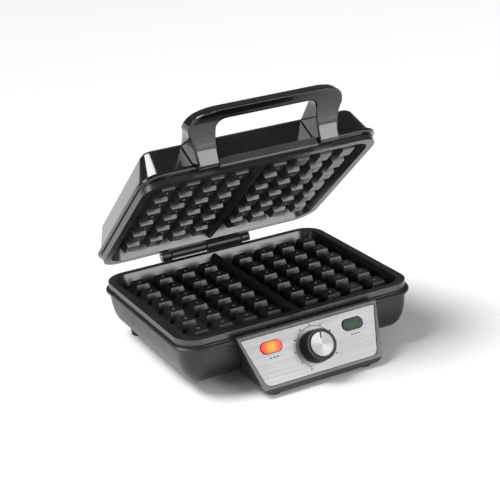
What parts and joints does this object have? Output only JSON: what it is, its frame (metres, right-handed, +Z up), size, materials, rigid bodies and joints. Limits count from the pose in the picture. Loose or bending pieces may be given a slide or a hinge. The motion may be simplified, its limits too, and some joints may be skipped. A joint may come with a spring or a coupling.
{
  "type": "waffle maker",
  "caption": "Electric waffle maker: two studded plates in a hinged clamshell casing with a carrying loop handle and a sloping front console with a dial.",
  "frame": {"origin": "on the table under the middle of the machine's overall box, lid open as stored", "axes": "+X to the right seen from the console, +Y to the hinge at the back, +Z up"},
  "size_m": [0.25, 0.2542, 0.2547],
  "materials": {
    "gloss_black": "high gloss",
    "satin_black": "satin",
    "nonstick": "fine-grained non-stick coating",
    "rubber": "matt",
    "steel": "plain",
    "brushed_steel": "brushed side to side",
    "bright_steel": "spun",
    "aluminium": "mill finish",
    "grey_satin": "satin",
    "amber": "lit translucent lens",
    "green": "unlit translucent lens",
    "ceramic": "matt",
    "lamp_glass": "clear"
  },
  "bodies": {
    "base": {"base_casing": "satin_black", "base_cover": "satin_black", "cover_screw_left_front": "steel", "cover_screw_right_front": "steel", "cover_screw_left_rear": "steel", "cover_screw_right_rear": "steel", "foot_left_rear": "rubber", "foot_right_rear": "rubber", "foot_left_front": "rubber", "foot_right_front": "rubber", "lower_plate": "nonstick", "lower_heater": "steel", "lower_reflector": "aluminium", "lower_plate_screw_left_front": "steel", "lower_plate_screw_right_front": "steel", "lower_plate_screw_left_rear": "steel", "lower_plate_screw_right_rear": "steel", "console_housing": "satin_black", "console_fascia": "brushed_steel", "power_lens": "amber", "power_lamp": "lamp_glass", "ready_lens": "green", "ready_lamp": "lamp_glass", "thermostat_body": "ceramic", "cord_inlet": "rubber", "terminal_block": "ceramic", "thermal_fuse": "steel", "base_hinge_leaf": "satin_black", "hinge_pin": "steel"},
    "lid": {"lid_casing": "gloss_black", "upper_plate": "nonstick", "upper_heater": "steel", "upper_reflector": "aluminium", "upper_plate_screw_left_front": "steel", "upper_plate_screw_right_front": "steel", "upper_plate_screw_left_rear": "steel", "upper_plate_screw_right_rear": "steel", "lid_hinge_leaf": "satin_black", "handle": "gloss_black", "handle_crossbar": "grey_satin", "handle_screw_left": "steel", "handle_screw_right": "steel"},
    "dial": {"control_knob": "gloss_black", "knob_cap": "bright_steel", "dial_shaft": "steel"}
  },
  "joints": [
    {"name": "lid_hinge", "type": "hinge", "parent": "base", "child": "lid", "pos_m": [0, 0.12061, 0.0584], "axis": [-1, 0, 0], "range_deg": [-39.8, 55]},
    {"name": "dial_turn", "type": "hinge", "parent": "base", "child": "dial", "pos_m": [0, -0.10838, 0.03044], "axis": [0, -0.8581, 0.5135], "range_deg": [-112, 150]}
  ]
}
